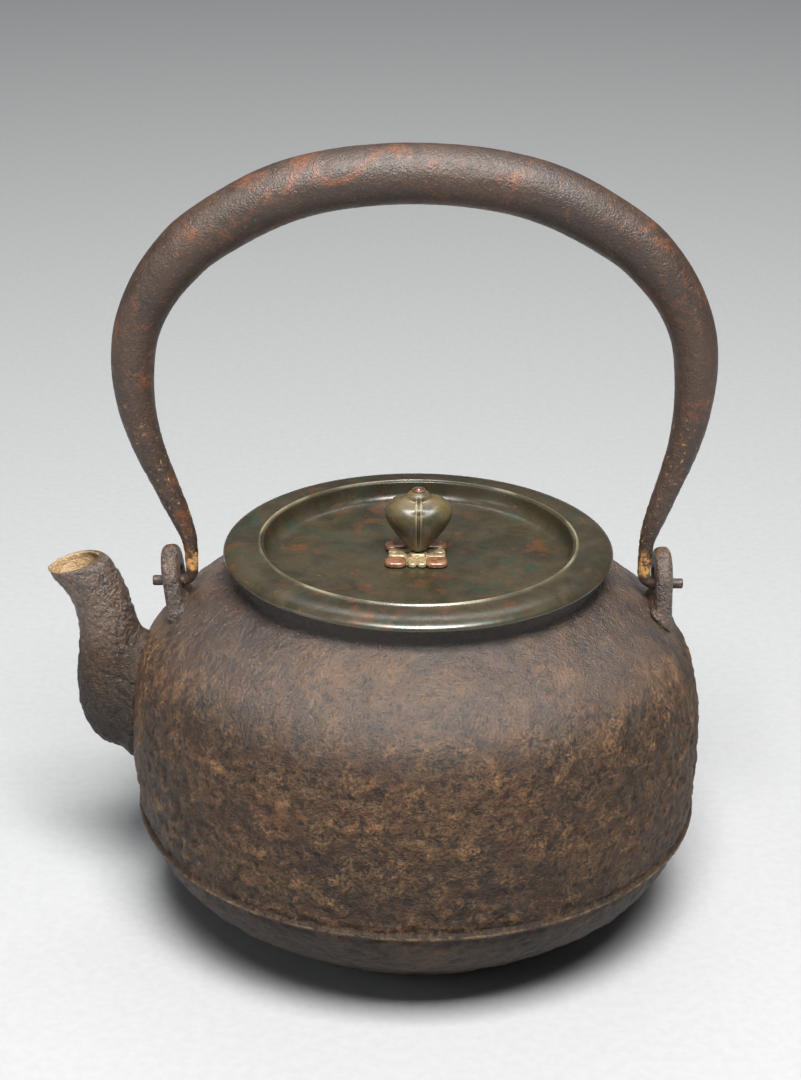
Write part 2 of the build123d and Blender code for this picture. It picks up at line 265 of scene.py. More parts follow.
class Paint:
    """A material under construction: each method adds a node and gives back its output."""

    def __init__(self, name, metal=0.0, shine=0.5):
        self.material = bpy.data.materials.new(name)
        self.material.use_nodes = True
        self.nodes = self.material.node_tree.nodes
        self.links = self.material.node_tree.links
        self.shader = self.nodes["Principled BSDF"]
        self.shader.inputs["Metallic"].default_value = metal
        self.shader.inputs["Specular IOR Level"].default_value = shine
        self.place = self.nodes.new("ShaderNodeTexCoord").outputs["Object"]

    def feed(self, socket, value):
        """Links an output to a socket, or sets the socket to a plain value."""
        if isinstance(value, bpy.types.NodeSocket):
            self.links.new(value, socket)
        else:
            socket.default_value = value

    def noise(self, size, detail=4.0, rough=0.6, twist=0.0):
        """Fractal noise with lumps of about size mm."""
        node = self.nodes.new("ShaderNodeTexNoise")
        self.feed(node.inputs["Vector"], self.place)
        for name, value in (("Scale", 1 / (size * MM)), ("Detail", detail), ("Roughness", rough),
                            ("Distortion", twist)):
            node.inputs[name].default_value = value
        return node.outputs["Fac"]

    def value(self, name):
        """A number kept on the piece's vertices; 0 where the piece has none."""
        node = self.nodes.new("ShaderNodeAttribute")
        node.attribute_name = name
        return node.outputs["Fac"]

    def along(self, axis):
        """The place along one axis, in mm."""
        node = self.nodes.new("ShaderNodeSeparateXYZ")
        self.feed(node.inputs[0], self.place)
        return self.math("MULTIPLY", node.outputs[axis], 1 / MM)

    def math(self, operation, first, second=0.0):
        node = self.nodes.new("ShaderNodeMath")
        node.operation = operation
        self.feed(node.inputs[0], first)
        self.feed(node.inputs[1], second)
        return node.outputs[0]

    def between(self, value, low, high, start=0.0, end=1.0):
        """Goes smoothly from start to end as value goes from low to high."""
        node = self.nodes.new("ShaderNodeMapRange")
        node.interpolation_type = "SMOOTHSTEP"
        self.feed(node.inputs[0], value)
        for index, number in enumerate((low, high, start, end), 1):
            self.feed(node.inputs[index], number)
        return node.outputs[0]

    def blend(self, share, first, second):
        """The first colour at a share of 0 and the second at 1."""
        node = self.nodes.new("ShaderNodeMix")
        node.data_type = "RGBA"
        self.feed(node.inputs[0], share)
        self.feed(node.inputs[6], first)
        self.feed(node.inputs[7], second)
        return node.outputs[2]

    def finish(self, colour, roughness, heights):
        """heights are (output, depth in mm) pairs, from the broadest to the finest."""
        self.feed(self.shader.inputs["Base Color"], colour)
        self.feed(self.shader.inputs["Roughness"], roughness)
        normal = None
        for height, depth in heights:
            node = self.nodes.new("ShaderNodeBump")
            node.inputs["Distance"].default_value = depth * MM
            self.feed(node.inputs["Height"], height)
            if normal is not None:
                self.feed(node.inputs["Normal"], normal)
            normal = node.outputs["Normal"]
        if normal is not None:
            self.feed(self.shader.inputs["Normal"], normal)
        return self.material


def cast_iron():
    """Rusty brown sand casting: dark in the hollows, ochre grains in patches on the lumps, with painted
    shade and highlights: darker round the neck, low on the spout and ears and below the seam, a lighter
    seam crest and bright glinting specks on the spout and ears.
    """
    paint = Paint("cast_iron")
    height = paint.along("Z")
    side = paint.math("MULTIPLY", paint.between(height, 94, 80), paint.between(height, 20, 36))
    fitting = paint.value("fitting")
    dull = paint.math("MULTIPLY", paint.between(height, 99, 74), paint.between(fitting, 0, 1, 1, 0.9))
    lump = paint.noise(2.2, 5, 0.6)
    grain = paint.noise(0.9, 4, 0.65)
    fine = paint.noise(0.45, 3, 0.6)
    broad = paint.between(paint.noise(22, 4, 0.6, 0.5), 0.35, 0.65)
    colour = paint.blend(broad, tint(62, 42, 28), tint(96, 67, 42))
    patch = paint.between(paint.noise(7, 5, 0.65), 0.4, 0.58, 0.12, 1)
    grains = paint.math("MULTIPLY", paint.between(grain, 0.44, 0.6), patch)
    ochre = paint.math("MULTIPLY", grains, paint.between(side, 0, 1, 0.2, 0.6))
    ochre = paint.math("MULTIPLY", ochre, paint.between(fitting, 0, 1, 1, 0.45))
    colour = paint.blend(ochre, colour, tint(148, 113, 72))
    orange = paint.math("MULTIPLY", paint.between(paint.noise(2.4, 5, 0.7), 0.58, 0.68),
                        paint.between(paint.noise(21, 3), 0.42, 0.6, 0.1, 0.7))
    colour = paint.blend(orange, colour, tint(122, 70, 42))
    red = paint.between(paint.noise(12, 5, 0.7, 0.8), 0.54, 0.68, 0, 0.55)
    colour = paint.blend(red, colour, tint(84, 44, 32))
    soot = paint.between(paint.noise(19, 5, 0.65, 0.7), 0.47, 0.36, 0, 0.45)
    colour = paint.blend(soot, colour, tint(36, 28, 23))
    # Painted shade: darker from just below the seam down to the base, where the wall curves in.
    colour = paint.blend(paint.between(height, 33, 30, 0, 0.5), colour, tint(38, 30, 24))
    # Painted shadow: the shell from 101.5 mm up, round the neck below the lid's brim, is darkened as if
    # the brim shaded it.
    neck = paint.math("MULTIPLY", paint.between(height, 101.5, 104.5, 0, 0.7),
                      paint.between(fitting, 0, 1, 1, 0))
    colour = paint.blend(neck, colour, tint(26, 20, 16))
    # Painted shade: the spout and ears are darkened more the lower they reach, as if in shade.
    painted_fitting_shade = paint.math("MULTIPLY", paint.between(height, 104, 66, 0.2, 0.85), fitting)
    colour = paint.blend(painted_fitting_shade, colour, tint(28, 23, 19))
    off_seam = paint.math("ABSOLUTE", paint.math("SUBTRACT", height, SEAM_HEIGHT))
    colour = paint.blend(paint.between(off_seam, 2.0, 1.0, 0, 0.75), colour, tint(22, 17, 13))
    # Painted highlight: a lighter streak in patches along the crest of the seam bead.
    crest = paint.math("MULTIPLY", paint.between(off_seam, 0.7, 0.35),
                       paint.between(paint.noise(6, 4), 0.4, 0.62, 0.1, 0.7))
    colour = paint.blend(crest, colour, tint(112, 90, 66))
    colour = paint.blend(paint.between(lump, 0.47, 0.36, 0, 0.85), colour, tint(22, 17, 13))
    deep = paint.between(paint.value("hollow"), 0.5, 1.2, 0, 0.6)
    colour = paint.blend(deep, colour, tint(24, 18, 14))
    colour = paint.blend(paint.between(grain, 0.46, 0.34, 0, 0.65), colour, tint(26, 20, 15))
    # Painted glints: bright brassy specks on the spout and ears, fading out from 84 mm down to 60 mm.
    painted_glints = paint.math("MULTIPLY", paint.between(paint.noise(1.1, 5, 0.75), 0.58, 0.68, 0, 0.7), fitting)
    painted_glints = paint.math("MULTIPLY", painted_glints, paint.between(height, 60, 84))
    colour = paint.blend(painted_glints, colour, tint(158, 128, 88))
    crumbs = paint.between(paint.noise(3, 4, 0.6), 0.2, 0.5, 0.7, 1)
    scale = paint.math("MULTIPLY", paint.value("scale"), crumbs)
    colour = paint.blend(scale, colour, tint(156, 126, 86))
    paint.feed(paint.shader.inputs["Specular IOR Level"], paint.between(dull, 0, 1, 0.9, 0.26))
    paint.shader.inputs["IOR"].default_value = 1.6
    rough = paint.math("ADD", paint.between(paint.noise(1.8, 4, 0.7), 0.35, 0.65, 0.3, 0.44),
                       paint.between(dull, 0, 1, 0, 0.16))
    return paint.finish(colour, rough, [(lump, 0.8), (grain, 0.5), (fine, 0.18)])


def forged_iron():
    """Smoother brown iron with rusty patches, dark pores and brassy specks low on the legs."""
    paint = Paint("forged_iron", shine=0.6)
    height = paint.along("Z")
    fine = paint.noise(0.6, 4, 0.65)
    broad = paint.between(paint.noise(24, 4, 0.6, 0.6), 0.38, 0.62)
    colour = paint.blend(broad, tint(48, 36, 29), tint(62, 45, 35))
    rust = paint.between(paint.noise(15, 6, 0.7, 1.0), 0.52, 0.66, 0, 0.75)
    colour = paint.blend(rust, colour, tint(104, 60, 36))
    dark = paint.between(paint.noise(11, 5, 0.7, 0.8), 0.44, 0.34, 0, 0.6)
    colour = paint.blend(dark, colour, tint(40, 31, 27))
    colour = paint.blend(paint.between(fine, 0.34, 0.5, 0.6, 0), colour, tint(34, 25, 20))
    brassy = paint.math("MULTIPLY", paint.between(paint.noise(1.3, 5, 0.75), 0.58, 0.68),
                        paint.between(height, 165, 135, 0.25, 0.9))
    colour = paint.blend(brassy, colour, tint(158, 120, 72))
    rubbed = paint.math("MULTIPLY", paint.between(height, 112, 107),
                        paint.between(paint.along("Y"), 0.4, -0.8))
    rubbed = paint.math("MULTIPLY", rubbed, paint.between(height, 101.5, 103.5))
    rubbed = paint.math("MULTIPLY", rubbed, paint.between(paint.noise(2.2, 4, 0.7), 0.42, 0.62))
    colour = paint.blend(rubbed, colour, tint(190, 142, 84))
    rough = paint.between(paint.noise(3, 4, 0.7), 0.3, 0.7, 0.38, 0.56)
    return paint.finish(colour, rough, [(paint.noise(2.4, 4, 0.6), 0.25), (fine, 0.22)])


def bronze(name, base, lit, gloss, spread):
    """Olive brown bronze with rusty and green patches in the patina, rubbed bright on its edges, with a
    painted highlight there as well.
    """
    paint = Paint(name, metal=0.1, shine=0.9)
    broad = paint.between(paint.noise(spread, 4, 0.6, 0.8), 0.38, 0.62)
    colour = paint.blend(broad, tint(*base), tint(*lit))
    rust = paint.between(paint.noise(spread * 0.7, 6, 0.7, 1.3), 0.54, 0.66, 0, 0.55)
    colour = paint.blend(rust, colour, tint(92, 52, 27))
    green = paint.between(paint.noise(spread * 0.8, 6, 0.65, 1.0), 0.45, 0.35, 0, 0.65)
    colour = paint.blend(green, colour, tint(38, 54, 43))
    specks = paint.between(paint.noise(2.4, 5, 0.7), 0.64, 0.72, 0, 0.7)
    colour = paint.blend(specks, colour, tint(120, 68, 32))
    fine = paint.noise(0.7, 3, 0.6)
    colour = paint.blend(paint.between(fine, 0.3, 0.5, 0.35, 0), colour, tint(30, 27, 20))
    # Rubbed-bright wear together with a painted highlight, on the lid's lip crest and the knob's double
    # seam.
    colour = paint.blend(paint.value("wear_and_highlight"), colour, tint(150, 142, 116))
    rough = paint.between(paint.noise(5, 5, 0.7), 0.3, 0.7, gloss, gloss + 0.14)
    return paint.finish(colour, rough, [(paint.noise(4, 3, 0.5), 0.05), (fine, 0.02)])


def fitting_metal(name, base, lit, pores, metal, shine, spread):
    """A small timeworn fitting in two shades, with dark pores."""
    paint = Paint(name, metal=metal, shine=shine)
    patch = paint.between(paint.noise(spread, 4, 0.65), 0.35, 0.65)
    colour = paint.blend(patch, tint(*base), tint(*lit))
    dark = paint.between(paint.noise(0.8, 3), 0.32, 0.48, 0.6, 0)
    colour = paint.blend(dark, colour, tint(*pores))
    rough = paint.between(paint.noise(1.5, 3), 0.3, 0.7, 0.25, 0.45)
    return paint.finish(colour, rough, [(paint.noise(1.2, 3, 0.5), 0.06)])


def give(piece, material):
    """Puts one material on a piece."""
    piece.data.materials.clear()
    piece.data.materials.append(material)


iron = cast_iron()
bail_iron = forged_iron()
lid_bronze = bronze("bronze", (43, 39, 27), (58, 51, 35), gloss=0.24, spread=18)
knob_bronze = bronze("knob_bronze", (40, 42, 26), (84, 72, 38), gloss=0.44, spread=7)
lobe_copper = fitting_metal("copper", (104, 68, 46), (142, 104, 78), (84, 50, 36), 0.3, 0.7, 2.2)
pin_copper = fitting_metal("pin_copper", (78, 54, 44), (112, 84, 72), (84, 50, 36), 0.3, 0.7, 2.2)
ray_brass = fitting_metal("seat_brass", (122, 104, 74), (164, 146, 112), (74, 62, 40), 0.2, 0.6, 2.5)

# ---------------------------------------------------------------- kettle body

SKIN_STEP = 1.0
SEAM_STEP = 0.3
SEAM_REACH = 1.9
SEAM_ROWS = 14
SEAM_WIDTH = 0.55
SEAM_CLOSE = 1.5
PLAIN_STEP = 4.0
PLAIN_RADIUS = 49.0
BODY_STEPS = 480
BASE_KEPT = 0.5
NECK_FOOT = 105.0
SHOULDER_HEIGHT = 88.0
SPOUT_ROOT = Vector((-80.0, 0.0, 66.0))
SPOUT_CALM = (19.0, 30.0)
LUMP_SIZE, LUMP_DEPTH = 3.4, 1.3
PIT_SIZE, PIT_DEPTH = 2.8, 0.45
WAVE_SIZE, WAVE_DEPTH = 19.0, 0.5
DENT_SIZE, DENT_DEPTH = 7.0, 0.7
DIMPLE_SIZE, DIMPLE_DEPTH = 3.4, 0.4

rim_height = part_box("kettle_body")[1].z / MM
body_line = half_section("kettle_body")
rim_index = max(range(len(body_line)), key=lambda i: body_line[i][1])


def crisp_seam(line, top):
    """The same outline with the bead along the seam drawn as a narrow ridge."""
    inside = [i for i, (_, height) in enumerate(line[:top]) if abs(height - SEAM_HEIGHT) < SEAM_REACH]
    before, after = line[inside[0] - 1], line[inside[-1] + 1]
    rise = line[max(inside, key=lambda i: line[i][0])]
    ridge = []
    for step in range(1, SEAM_ROWS):
        share = step / SEAM_ROWS
        height = before[1] + (after[1] - before[1]) * share
        straight = before[0] + (after[0] - before[0]) * share
        lift = math.exp(-(((height - SEAM_HEIGHT) / SEAM_WIDTH) ** 2))
        ridge.append((straight + (rise[0] - straight) * lift, height))
    return line[:inside[0]] + ridge + line[inside[-1] + 1:]


body_line = crisp_seam(body_line, rim_index)
rim_index = max(range(len(body_line)), key=lambda i: body_line[i][1])
outer_points = set(body_line[:rim_index])


def body_step(point):
    """Close rows on the outer wall, closest along the seam, and wide ones where the wall is plain."""
    if point not in outer_points or point[0] < PLAIN_RADIUS:
        return PLAIN_STEP
    return SEAM_STEP if abs(point[1] - SEAM_HEIGHT) < SEAM_CLOSE else SKIN_STEP


body_outline = divided(body_line, body_step)
shell = turned("shell", body_outline, BODY_STEPS, "kettle")
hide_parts("kettle_body")


def cast_depth(place, normal):
    """The casting skin: rough round the side, dents on the shoulder, smooth inside and at the neck."""
    outside = normal.x * place.x + normal.y * place.y > 0 or (normal.z < 0 and place.z < 2)
    if place.z > NECK_FOOT or not outside or place.z < BASE_KEPT:
        return 0.0
    side = smoothstep(SHOULDER_HEIGHT + 5, SHOULDER_HEIGHT - 12, place.z)
    side *= 0.45 + 0.55 * smoothstep(SEAM_HEIGHT - 4, SEAM_HEIGHT + 8, place.z)
    seam = smoothstep(1.3, 0.7, abs(place.z - SEAM_HEIGHT))
    calm = smoothstep(*SPOUT_CALM, (place - SPOUT_ROOT).length)
    lumps = LUMP_DEPTH * (1 - grit(place, LUMP_SIZE, 9))
    pits = smoothstep(0.6, 0.78, swell(place, PIT_SIZE, 9))
    depth = (0.16 + 0.8 * side) * lumps + PIT_DEPTH * side * pits
    depth += WAVE_DEPTH * swell(place, WAVE_SIZE, 5)
    depth += (1 - 0.6 * side) * (DENT_DEPTH * swell(place, DENT_SIZE, 7)
                                 + DIMPLE_DEPTH * swell(place, DIMPLE_SIZE, 6))
    return depth * (1 - 0.85 * seam) * (0.15 + 0.85 * calm)


sink(shell, cast_depth)
give(shell, iron)
body_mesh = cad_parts["kettle_body"].data
body_surface = BVHTree.FromPolygons([v.co for v in body_mesh.vertices],
                                    [tuple(face.vertices) for face in body_mesh.polygons])


def pierce(piece, centre, tilt, half_sizes, length, steps=48):
    """Cuts an oval hole through a piece; tilt leans it from upright towards the spout."""
    way = Matrix.Rotation(math.radians(-tilt), 3, "Y")
    turns = [2 * math.pi * i / steps for i in range(steps)]
    ring = [(half_sizes[0] * math.cos(turn), half_sizes[1] * math.sin(turn)) for turn in turns]
    vertices = [way @ Vector((x, y, z)) + centre for z in (-length / 2, length / 2) for x, y in ring]
    faces = [(i, (i + 1) % steps, steps + (i + 1) % steps, steps + i) for i in range(steps)]
    faces += [tuple(range(steps))[::-1], tuple(range(steps, 2 * steps))]
    cutter = new_piece("cutter", vertices, faces, "kettle")
    apply_modifier(piece, "BOOLEAN", operation="DIFFERENCE", object=cutter, solver="FAST")
    bpy.data.objects.remove(cutter)


def root_in(piece, reach, spread, sunk=1.2):
    """Widens the foot of a piece into a fillet on the kettle body and lets it run into the skin."""
    places, normals = points_of(piece)
    gaps = []
    for i, (place, normal) in enumerate(zip(places, normals)):
        spot, level, _, gap = body_surface.find_nearest(Vector(place) * MM)
        gap /= MM
        gaps.append(gap)
        if gap > reach:
            continue
        spot, level = spot / MM, Vector(level)
        if (Vector((spot.x, spot.y, 0))).dot(level) < 0:
            continue
        sideways = Vector(normal) - Vector(normal).dot(level) * level
        share = (1 - gap / reach) ** 2
        if sideways.length > 0.2:
            places[i] += np.array(sideways.normalized()) * spread * share
        if gap < 1.0:
            places[i] -= np.array(level) * sunk * (1 - gap)
    set_points(piece, places)
    return gaps


# ---------------------------------------------------------------- spout

CHANNEL_LINE = [Vector((x, 0.0, z)) for x, z in (
    (-72.5, 59.2), (-80.7, 62.8), (-85.9, 68.2), (-87.7, 76.3), (-88.7, 86.1), (-90.3, 94.1),
    (-93.5, 100.8), (-99.5, 110.0))]
CHANNEL_ROOT_SIZE = (9.0, 8.0)
CHANNEL_ROOT_TILT = 65.0
CHANNEL_ROOT_LENGTH = 16.0
SCALE_HEIGHTS = (70.0, 84.0)

spout = outer_copy("spout", "spout_casting", 0.5, "kettle")
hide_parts("spout")
spout_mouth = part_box("spout")[1].z / MM


def spout_depth(place, normal):
    """A hammered, crumbly skin outside; the channel and the thin rim stay smoother."""
    rim = smoothstep(spout_mouth - 0.8, spout_mouth - 5, place.z)
    lumps = 0.5 * (1 - crust(place, 2.9, 14)) + 0.7 * (1 - grit(place, 2.6, 5))
    return (0.08 + 0.6 * rim) * lumps + 0.15 * swell(place, 9, 2) * rim


def looks_in(place, normal):
    """Above 0 where a point of the spout faces the middle of its channel, up to 1 for square on."""
    best = None
    for start, end in zip(CHANNEL_LINE, CHANNEL_LINE[1:]):
        run = end - start
        share = min(1.0, max(0.0, (place - start).dot(run) / run.length_squared))
        gap = start + run * share - place
        if best is None or gap.length < best.length:
            best = gap
    return best.normalized().dot(normal)


scaled = [smoothstep(0.1, 0.45, looks_in(Vector(place), Vector(normal)))
          * smoothstep(*SCALE_HEIGHTS, place[2]) for place, normal in zip(*points_of(spout))]
channel_root = (CHANNEL_LINE[0] + CHANNEL_LINE[1]) / 2
pierce(shell, channel_root, CHANNEL_ROOT_TILT, CHANNEL_ROOT_SIZE, CHANNEL_ROOT_LENGTH)
sink(spout, spout_depth)
root_in(spout, 5.0, 2.4, 2.2)
keep_value(spout, "scale", scaled)
keep_value(spout, "fitting", np.ones(len(scaled)))
give(spout, iron)

# ---------------------------------------------------------------- ears


def ear_depth(place, normal):
    """Slight unevenness: the ears are cleaner than the body."""
    return 0.12 * (1 - grit(place, 2.6, 21)) + 0.06 * swell(place, 6, 8)


for node in ("spout_ear", "rear_ear"):
    ear = outer_copy(node, node + "_casting", 0.4, "kettle")
    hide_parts(node)
    sink(ear, ear_depth)
    root_in(ear, 2.4, 0.9)
    keep_value(ear, "fitting", np.ones(len(ear.data.vertices)))
    give(ear, iron)

# ---------------------------------------------------------------- handle

# x, z and radius down one half of the handle, from the crown to the start of the hook.
BAIL_HALF = [
    (0.0, 217.1, 8.1), (21.0, 215.4, 8.1), (38.5, 210.4, 8.1), (56.0, 200.5, 7.8), (64.0, 193.3, 7.5),
    (70.6, 184.5, 6.9), (75.2, 174.0, 6.35), (76.7, 163.0, 5.95), (76.2, 151.5, 5.2), (73.9, 140.5, 4.4),
    (70.3, 130.0, 3.7), (66.7, 120.0, 3.15), (64.3, 112.0, 2.25), (64.0, 102.85, 1.85),
]
BAIL_LEAN = -1.5
LEAN_FOOT = 112.0
LEAN_RISE = 43.0
PIVOT_HEIGHT = 99.65
HOOK_STEPS = 12
STUB_RADIUS = 1.55
STUB_END = 75.3
STUB_ROUND = 0.4
STUB_ROUND_MIDDLE = 0.12
BAIL_RING_STEP = 0.7
BAIL_STEPS = 64


def eased(points, step, passes):
    """A smooth line through the points with a place every step or so."""
    padded = [points[0], *points, points[-1]]
    line = []
    for a, b, c, d in zip(padded, padded[1:], padded[2:], padded[3:]):
        parts = max(1, round(math.dist(b, c) / step))
        for t in [i / parts for i in range(parts)]:
            line.append([0.5 * (2 * q + (r - p) * t + (2 * p - 5 * q + 4 * r - s) * t * t
                                + (3 * q - p - 3 * r + s) * t ** 3) for p, q, r, s in zip(a, b, c, d)])
    line = np.array([*line, points[-1]])
    for _ in range(passes):
        line[1:-1] = (line[:-2] + 2 * line[1:-1] + line[2:]) / 4
    return [tuple(place) for place in line]


def hook_line(side):
    """x, z and radius from the foot of a leg round the bend and out to the end of the stub."""
    foot_x, foot_z, foot_radius = BAIL_HALF[-1]
    bend = foot_z - PIVOT_HEIGHT
    line = []
    for step in range(1, HOOK_STEPS + 1):
        turn = math.pi / 2 * step / HOOK_STEPS
        line.append((side * (foot_x + bend * (1 - math.cos(turn))), foot_z - bend * math.sin(turn),
                     foot_radius + (STUB_RADIUS - foot_radius) * step / HOOK_STEPS))
    out = foot_x + bend
    stub = STUB_END - STUB_ROUND - out
    for step in range(1, HOOK_STEPS + 1):
        line.append((side * (out + stub * step / HOOK_STEPS), PIVOT_HEIGHT, STUB_RADIUS))
    line.append((side * (STUB_END - STUB_ROUND_MIDDLE), PIVOT_HEIGHT, STUB_RADIUS - STUB_ROUND_MIDDLE))
    line.append((side * STUB_END, PIVOT_HEIGHT, STUB_RADIUS - STUB_ROUND))
    return line


def bar(name, line, steps, body):
    """A round bar along (x, z, radius) points in the plane of the handle, closed at both ends."""
    vertices, faces = [], []
    for i, (x, z, radius) in enumerate(line):
        before, after = line[max(0, i - 1)], line[min(len(line) - 1, i + 1)]
        along = Vector((after[0] - before[0], 0, after[1] - before[1])).normalized()
        across = Vector((along.z, 0, -along.x))
        for step in range(steps):
            turn = 2 * math.pi * step / steps
            spot = across * radius * math.cos(turn) + Vector((x, radius * math.sin(turn), z))
            vertices.append(tuple(spot))
    for ring in range(len(line) - 1):
        for step in range(steps):
            onward = (step + 1) % steps
            low, high = ring * steps, (ring + 1) * steps
            faces.append((low + step, low + onward, high + onward, high + step))
    faces += [tuple(range(steps))[::-1], tuple(range(len(vertices) - steps, len(vertices)))]
    return new_piece(name, vertices, faces, body)


arch = [(-x, z, radius) for x, z, radius in BAIL_HALF[:0:-1]] + BAIL_HALF
arch = [(x + BAIL_LEAN * min(1.0, max(0.0, (z - LEAN_FOOT) / LEAN_RISE)), z, radius)
        for x, z, radius in arch]
arch = eased(arch, BAIL_RING_STEP, 14)
bail = bar("forged_bail", hook_line(-1)[::-1] + arch + hook_line(1), BAIL_STEPS, "bail")
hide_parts("bail")


def bail_depth(place, normal):
    """Hammer marks, slight on the arch, and small scabs of rust low on the legs."""
    low = smoothstep(150, 125, place.z) * smoothstep(104, 110, place.z)
    return 0.12 * swell(place, 11, 4) + (0.05 + 0.16 * low) * (1 - crust(place, 3.0, 31))


sink(bail, bail_depth)
give(bail, bail_iron)

# ---------------------------------------------------------------- lid

lid_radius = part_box("lid")[1].x / MM
lid_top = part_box("lid")[1].z / MM
lid_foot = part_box("lid")[0].z / MM
plate_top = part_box("knob_seat")[0].z / MM
plate_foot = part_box("pin_washer")[1].z / MM
PIN_HOLE = 0.95
LIP_CREST = 44.6
LID_STEPS = 288

# The lid's section: plate, raised double lip, brim, the seat on the rim, skirt and underside.
lid_line = [
    (PIN_HOLE, plate_top), (3.0, plate_top), (20.0, plate_top), (38.0, plate_top),
    (40.2, plate_top + 0.05), (42.0, plate_top + 0.6), (43.0, plate_top + 1.8), (43.35, plate_top + 3.2),
    (43.45, lid_top - 1.4), (43.5, lid_top - 0.75), (43.62, lid_top - 0.42), (43.92, lid_top - 0.42),
    (44.02, lid_top - 0.75), (44.2, lid_top - 0.75), (44.3, lid_top - 0.3), (44.45, lid_top),
    (44.8, lid_top), (45.0, lid_top - 0.35),
    (45.4, lid_top - 0.55), (46.6, lid_top - 0.5), (49.0, lid_top - 0.45), (51.0, lid_top - 0.7),
    (53.0, lid_top - 1.3), (54.4, lid_top - 2.1), (lid_radius, lid_top - 3.0),
    (lid_radius - 0.3, rim_height + 0.6), (lid_radius - 1.2, rim_height + 0.05),
    (lid_radius - 2.6, rim_height), (50.0, rim_height), (46.9, rim_height), (46.4, rim_height),
    (46.4, rim_height - 0.5), (46.4, lid_foot + 0.6), (46.2, lid_foot), (44.4, lid_foot),
    (44.2, lid_foot + 0.4), (43.8, plate_foot - 0.8), (43.2, plate_foot), (41.5, plate_foot),
    (20.0, plate_foot), (3.0, plate_foot), (PIN_HOLE, plate_foot),
]
lid = turned("lid_casting", rounded(lid_line, 2), LID_STEPS, "lid")
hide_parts("lid")


def lid_depth(place, normal):
    """Barely uneven, as filed bronze is."""
    return 0.05 * swell(place, 13, 6)


def rubbed(place):
    """How far the patina is rubbed off the crest of the lip, in patches, with a painted highlight along
    the crest as well.
    """
    reach = math.hypot(place.x, place.y)
    crest = smoothstep(0.7, 0.25, abs(reach - LIP_CREST))
    crest *= smoothstep(lid_top - 0.9, lid_top - 0.4, place.z)
    return crest * (0.15 + 0.5 * smoothstep(0.35, 0.65, swell(place, 9, 12)))


# Wear and a painted highlight along the crest of the lip.
keep_value(lid, "wear_and_highlight", [rubbed(Vector(place)) for place in points_of(lid)[0]])
sink(lid, lid_depth)
give(lid, lid_bronze)

# ---------------------------------------------------------------- knob

KNOB_STEPS = 320
LOBE_FRONT = 4.4
LOBE_ROUNDNESS = 5.2
LOBE_LIFT = 0.5
LOBE_CENTRE, LOBE_WIDTH = 5.6, 2.6
LOBE_LIFT_HEIGHTS = (118.0, 124.5)
CLEFT_DEPTH = 1.35
KNOB_MIDDLE = 119.0
KNOB_FLATNESS = 0.84
KNOB_CORE = 3.2
SUTURE_OFFSET = 0.65
SUTURE_WIDTH = 0.28
SUTURE_HEIGHT = 0.5

knob_line = half_section("knob")
knob_foot = (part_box("knob")[0] / MM).z
knob = turned("knob_casting", rounded(divided(knob_line, lambda point: 0.4), 1), KNOB_STEPS, "knob")
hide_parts("knob")


def knob_depth(place, normal):
    """Two round lobes with a cleft front and back and a raised double seam along it."""
    if normal.x * place.x + normal.y * place.y + normal.z * (place.z - KNOB_MIDDLE) < 0:
        return 0.0
    reach = math.hypot(place.x, place.y)
    here = smoothstep(knob_foot + 0.4, knob_foot + 6, place.z)
    here *= smoothstep(2.8, 4.4, reach)
    here *= smoothstep(1.0, 0.6, normal.z)
    inwards = max(0.0, LOBE_FRONT - abs(place.x)) / LOBE_ROUNDNESS
    fullest = LOBE_FRONT / LOBE_ROUNDNESS
    cleft = (1 - math.sqrt(1 - inwards ** 2)) / (1 - math.sqrt(1 - fullest ** 2)) * CLEFT_DEPTH * here
    seam = math.exp(-(((abs(place.x) - SUTURE_OFFSET) / SUTURE_WIDTH) ** 2)) * SUTURE_HEIGHT
    return cleft - seam * smoothstep(2.6, 3.4, reach) * smoothstep(0.1, 0.4, here)


def lift_lobes(piece):
    """Raises the top of each lobe beside the knob's round core."""
    places, _ = points_of(piece)
    for place in places:
        lobe = math.exp(-(((abs(place[0]) - LOBE_CENTRE) / LOBE_WIDTH) ** 2))
        lobe *= smoothstep(*LOBE_LIFT_HEIGHTS, place[2])
        place[2] += LOBE_LIFT * lobe * smoothstep(3.0, 4.6, math.hypot(place[0], place[1]))
    set_points(piece, places)


def narrow(piece, core, flatness):
    """Narrows a turned piece front to back, except for its round core."""
    places, _ = points_of(piece)
    reach = np.maximum(np.hypot(places[:, 0], places[:, 1]), 1e-6)
    kept = np.minimum(reach, np.maximum(core, reach * flatness))
    places[:, 1] *= kept / reach
    set_points(piece, places)


sink(knob, knob_depth)


def seam_wear_and_highlight(place):
    """How bright the double seam is rubbed, with a painted highlight along its ridges."""
    crest = math.exp(-(((abs(place.x) - SUTURE_OFFSET) / SUTURE_WIDTH) ** 2))
    return 0.6 * crest * smoothstep(3.2, 4.2, math.hypot(place.x, place.y))


# Wear and a painted highlight along the knob's double seam.
keep_value(knob, "wear_and_highlight", [seam_wear_and_highlight(Vector(place)) for place in points_of(knob)[0]])
narrow(knob, KNOB_CORE, KNOB_FLATNESS)
lift_lobes(knob)
give(knob, knob_bronze)

# ---------------------------------------------------------------- knob seat

SEAT_VOXEL = 0.16
SEAT_BASE = (6.6, 6.6, 0.45)
SEAT_HUB = (2.6, 2.6, 1.1)
SEAT_SHIFT = -0.6
LOBE_PLACE = 5.7
LOBE_SIZE = (3.05, 2.75, 1.0)
RAY_PLACE = 5.3
RAY_SPREAD = 1.35
RAY_SIZE = (2.75, 1.3, 0.85)
PILLOW_RINGS = 14
PILLOW_STEPS = 28


